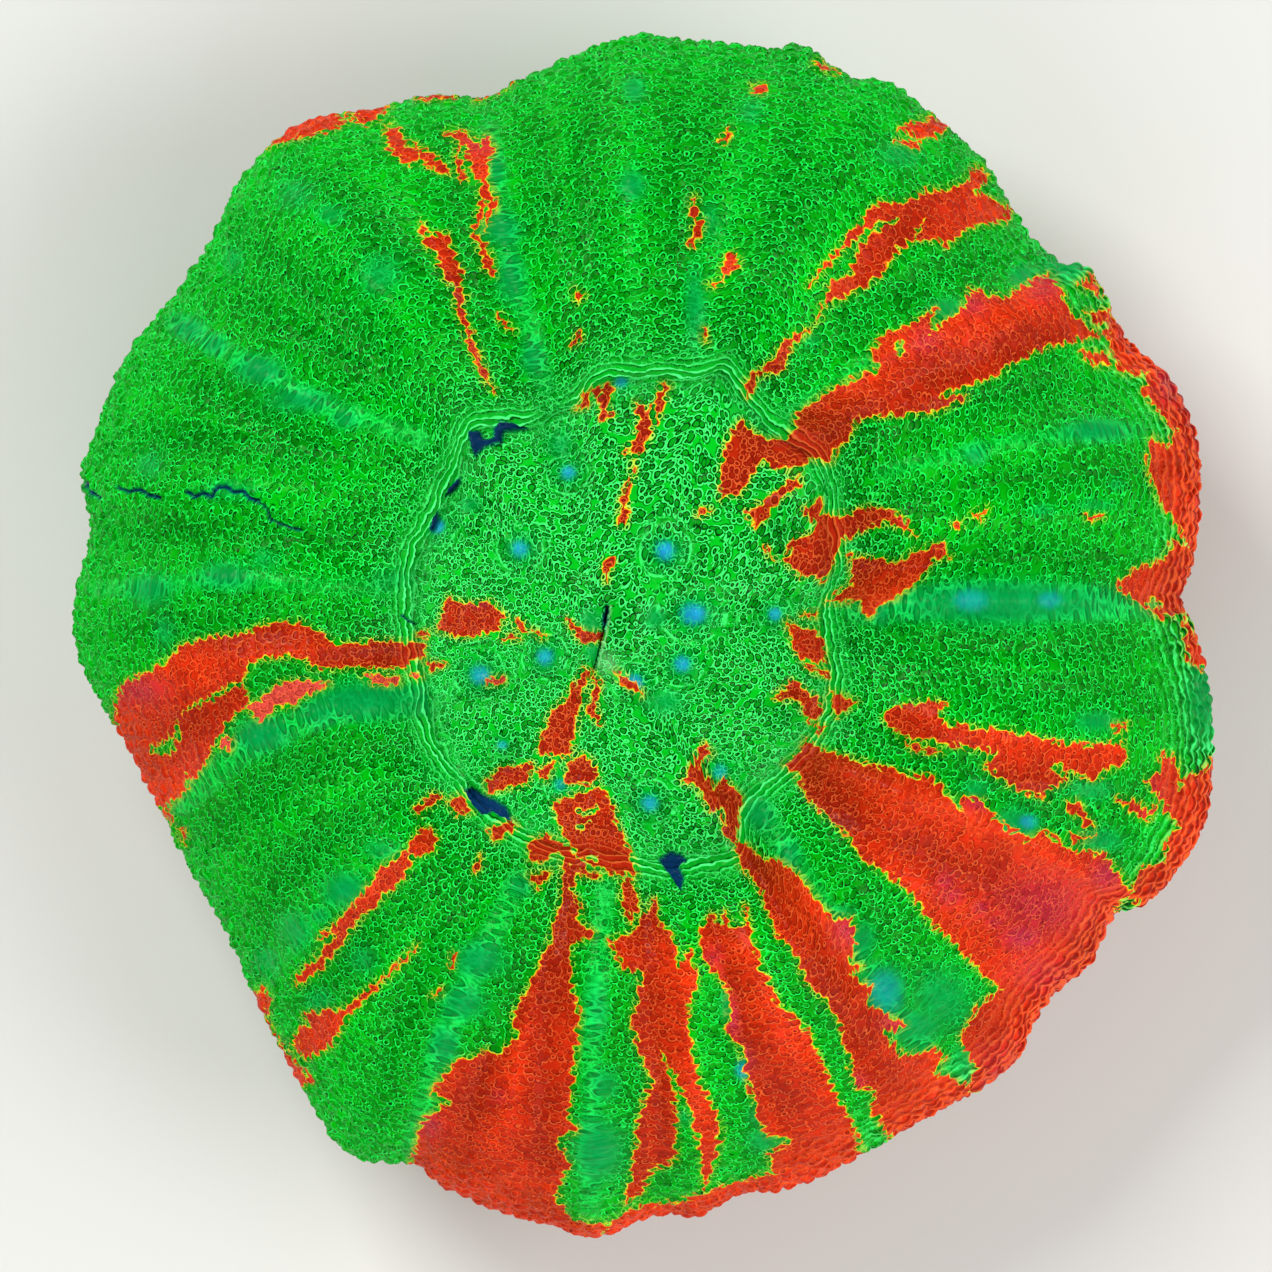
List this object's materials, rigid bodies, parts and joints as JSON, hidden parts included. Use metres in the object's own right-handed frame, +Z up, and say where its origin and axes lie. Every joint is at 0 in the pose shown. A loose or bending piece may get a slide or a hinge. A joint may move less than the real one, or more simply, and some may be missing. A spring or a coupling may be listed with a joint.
{
  "type": "scolymia coral",
  "caption": "Solitary scolymia coral: a ridged green fleshy mantle with orange-red bands round a sunken oral disc, on a ribbed stony foot cut off flat.",
  "frame": {"origin": "middle of the bounding box on the flat cut under the foot", "axes": "+Z up through the mouth, +Y along the longest way across, +X to the right seen from above"},
  "size_m": [0.0756, 0.0798, 0.0299],
  "materials": {
    "flesh": "moist satin skin of half-millimetre blisters, bright green with orange-red bands and teal over the ridges",
    "skeleton": "matt, ribbed, pale limestone skeleton below the flesh and on the cut"
  },
  "bodies": {
    "root": {"coral": "flesh"}
  },
  "joints": []
}
